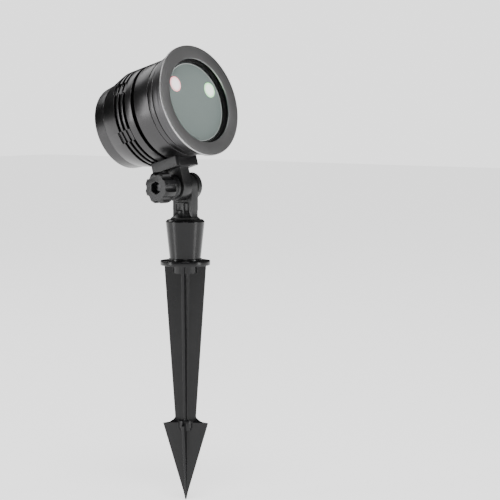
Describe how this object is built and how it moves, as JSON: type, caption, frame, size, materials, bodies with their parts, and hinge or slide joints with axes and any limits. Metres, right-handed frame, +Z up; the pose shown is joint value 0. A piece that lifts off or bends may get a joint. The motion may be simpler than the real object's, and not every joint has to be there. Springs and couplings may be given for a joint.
{
  "type": "garden laser projector on a ground spike",
  "caption": "Garden laser projector: finned round lamp head with a flat window on a clamped knuckle and a barbed ground spike.",
  "frame": {"origin": "centre of the flange's underside, where it rests on the ground, on the spike's axis", "axes": "+Z up along the spike's axis, the projector looks towards -Y, the clamp knob is on -X"},
  "size_m": [0.0954, 0.1164, 0.3871],
  "materials": {
    "spike_plastic": "smooth moulded black, semi-gloss",
    "knuckle_plastic": "fine satin grain",
    "seal_rubber": "matte",
    "zinc_steel": "zinc plated",
    "black_anodised": "satin black, turned",
    "clear_glass": "clear, polished",
    "bright_ring": "turned",
    "grey_plate": "satin greenish grey",
    "red_light": "frosted, lit",
    "green_light": "frosted, lit",
    "module_brass": "turned",
    "block_aluminium": "milled",
    "board_green": "solder mask",
    "component_black": "moulded",
    "gland_nylon": "nylon"
  },
  "bodies": {
    "stake": {"ground_spike": "spike_plastic"},
    "post": {"knuckle_post": "knuckle_plastic", "post_seal": "seal_rubber", "clamp_bolt": "zinc_steel", "clamp_washer": "zinc_steel", "friction_disc": "seal_rubber"},
    "knob": {"clamp_knob": "knuckle_plastic", "knob_nut": "zinc_steel"},
    "head": {"mount_bracket": "knuckle_plastic", "bracket_screws": "zinc_steel", "barrel": "black_anodised", "front_bezel": "black_anodised", "bezel_seal": "seal_rubber", "window_glass": "clear_glass", "window_gasket": "seal_rubber", "trim_ring": "bright_ring", "front_plate": "grey_plate", "red_lens": "red_light", "green_lens": "green_light", "red_module": "module_brass", "green_module": "module_brass", "module_block": "block_aluminium", "driver_board": "board_green", "board_parts": "component_black", "board_standoffs": "module_brass", "board_screws": "zinc_steel", "rear_cover": "black_anodised", "rear_seal": "seal_rubber", "rear_cover_screws": "zinc_steel", "gland_body": "gland_nylon", "gland_seal": "seal_rubber", "gland_nut": "gland_nylon", "gland_locknut": "gland_nylon"}
  },
  "joints": [
    {"name": "pan_turn", "type": "hinge", "parent": "stake", "child": "post", "pos_m": [0, 0, 0.03], "axis": [0, 0, 1], "range_deg": [-180, 180]},
    {"name": "head_tilt", "type": "hinge", "parent": "post", "child": "head", "pos_m": [0, 0, 0.067], "axis": [-1, 0, 0], "range_deg": [-70, 65]},
    {"name": "knob_turn", "type": "hinge", "parent": "post", "child": "knob", "pos_m": [-0.03, 0, 0.067], "axis": [1, 0, 0], "range_deg": [-180, 180]}
  ]
}
